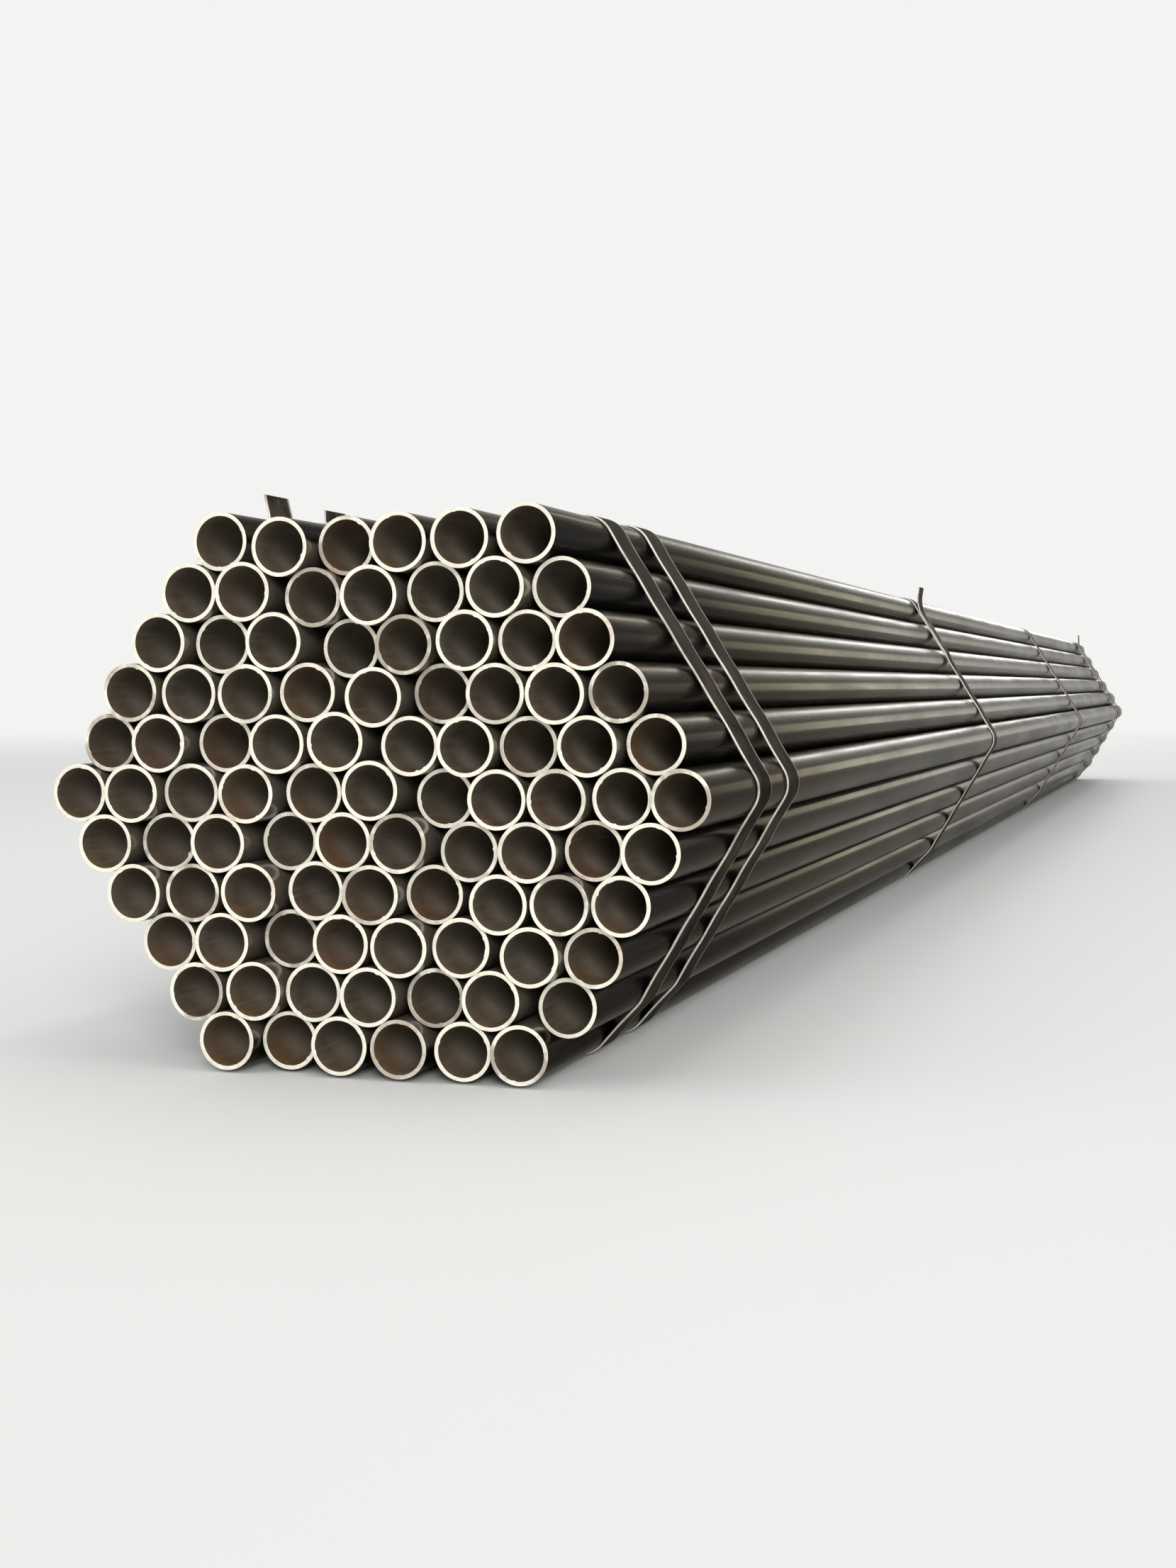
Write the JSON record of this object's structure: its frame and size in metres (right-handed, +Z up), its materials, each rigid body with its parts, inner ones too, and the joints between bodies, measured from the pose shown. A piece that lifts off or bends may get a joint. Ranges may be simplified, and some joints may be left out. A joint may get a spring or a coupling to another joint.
{
  "type": "bundle of steel pipes",
  "caption": "Hexagonal bundle of plain-ended welded black steel pipes, stacked in settled rows and held by flat steel straps with lapped, welded ends.",
  "frame": {"origin": "on the floor under the middle of the bundle, at the straps' undersides", "axes": "+Y along the pipes from the front ends to the rear ends, +X to the right seen from the front, +Z up"},
  "size_m": [0.5716, 6.0256, 0.4947],
  "materials": {
    "pipe_steel": "dark mill scale with bright cut ends and a little rust in the bores",
    "strap_steel": "dark brown-grey hot-rolled strip with bright edges"
  },
  "bodies": {
    "root": {"pipes_row_01": "pipe_steel", "pipes_row_02": "pipe_steel", "pipes_row_03": "pipe_steel", "pipes_row_04": "pipe_steel", "pipes_row_05": "pipe_steel", "pipes_row_06": "pipe_steel", "pipes_row_07": "pipe_steel", "pipes_row_08": "pipe_steel", "pipes_row_09": "pipe_steel", "pipes_row_10": "pipe_steel", "pipes_row_11": "pipe_steel", "strap_01": "strap_steel", "strap_02": "strap_steel", "strap_03": "strap_steel", "strap_04": "strap_steel", "strap_05": "strap_steel", "strap_06": "strap_steel"}
  },
  "joints": []
}
